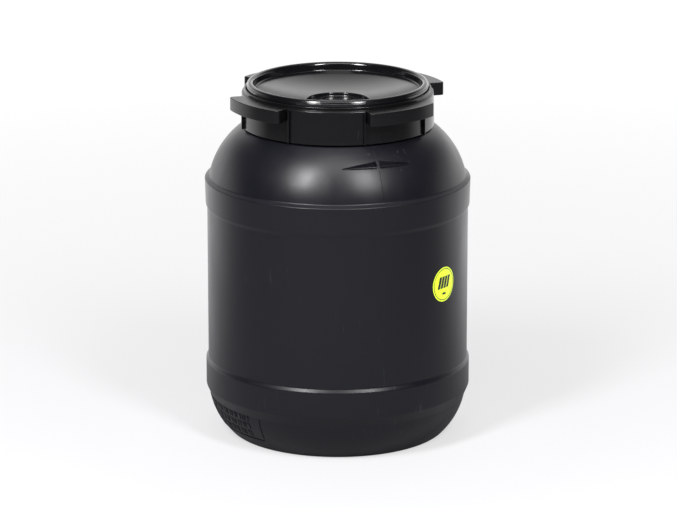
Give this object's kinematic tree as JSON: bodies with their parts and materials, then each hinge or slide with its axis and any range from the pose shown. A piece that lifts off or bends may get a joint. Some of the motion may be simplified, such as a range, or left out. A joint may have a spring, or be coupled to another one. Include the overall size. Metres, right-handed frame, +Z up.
{
  "type": "wide-neck screw-lid drum",
  "caption": "Black wide-neck plastic drum with rolling bands, a domed shoulder and a dished lid disc held down by a gripped screw ring.",
  "frame": {"origin": "centre of the base, in the plane of the flat ring that the drum stands on", "axes": "+Z up along the drum's axis; -Y is the side that the view shows"},
  "size_m": [0.312, 0.3118, 0.4208],
  "materials": {
    "drum_plastic": "satin blow-moulded polyethylene, charcoal black",
    "ring_plastic": "satin injection-moulded polyethylene, black",
    "disc_plastic": "semi-gloss injection-moulded polyethylene, black",
    "seal_foam": "matt dark grey sealing ring",
    "label_print": "printed yellow-green film label"
  },
  "bodies": {
    "drum": {"drum_body": "drum_plastic", "warning_label": "label_print"},
    "lid": {"lid_disc": "disc_plastic", "gasket": "seal_foam"},
    "ring": {"screw_ring": "ring_plastic"}
  },
  "joints": [
    {"name": "lid_rise", "type": "slide", "parent": "drum", "child": "lid", "axis": [0, 0, 1], "range_m": [0, 0.06]},
    {"name": "ring_turn", "type": "hinge", "parent": "lid", "child": "ring", "pos_m": [0, 0, 0.39], "axis": [0, 0, 1], "range_deg": [0, 1800]}
  ],
  "couplings": [
    {"joint": "lid_rise", "follows": "ring_turn", "m_per_rad": 0.0019098}
  ]
}
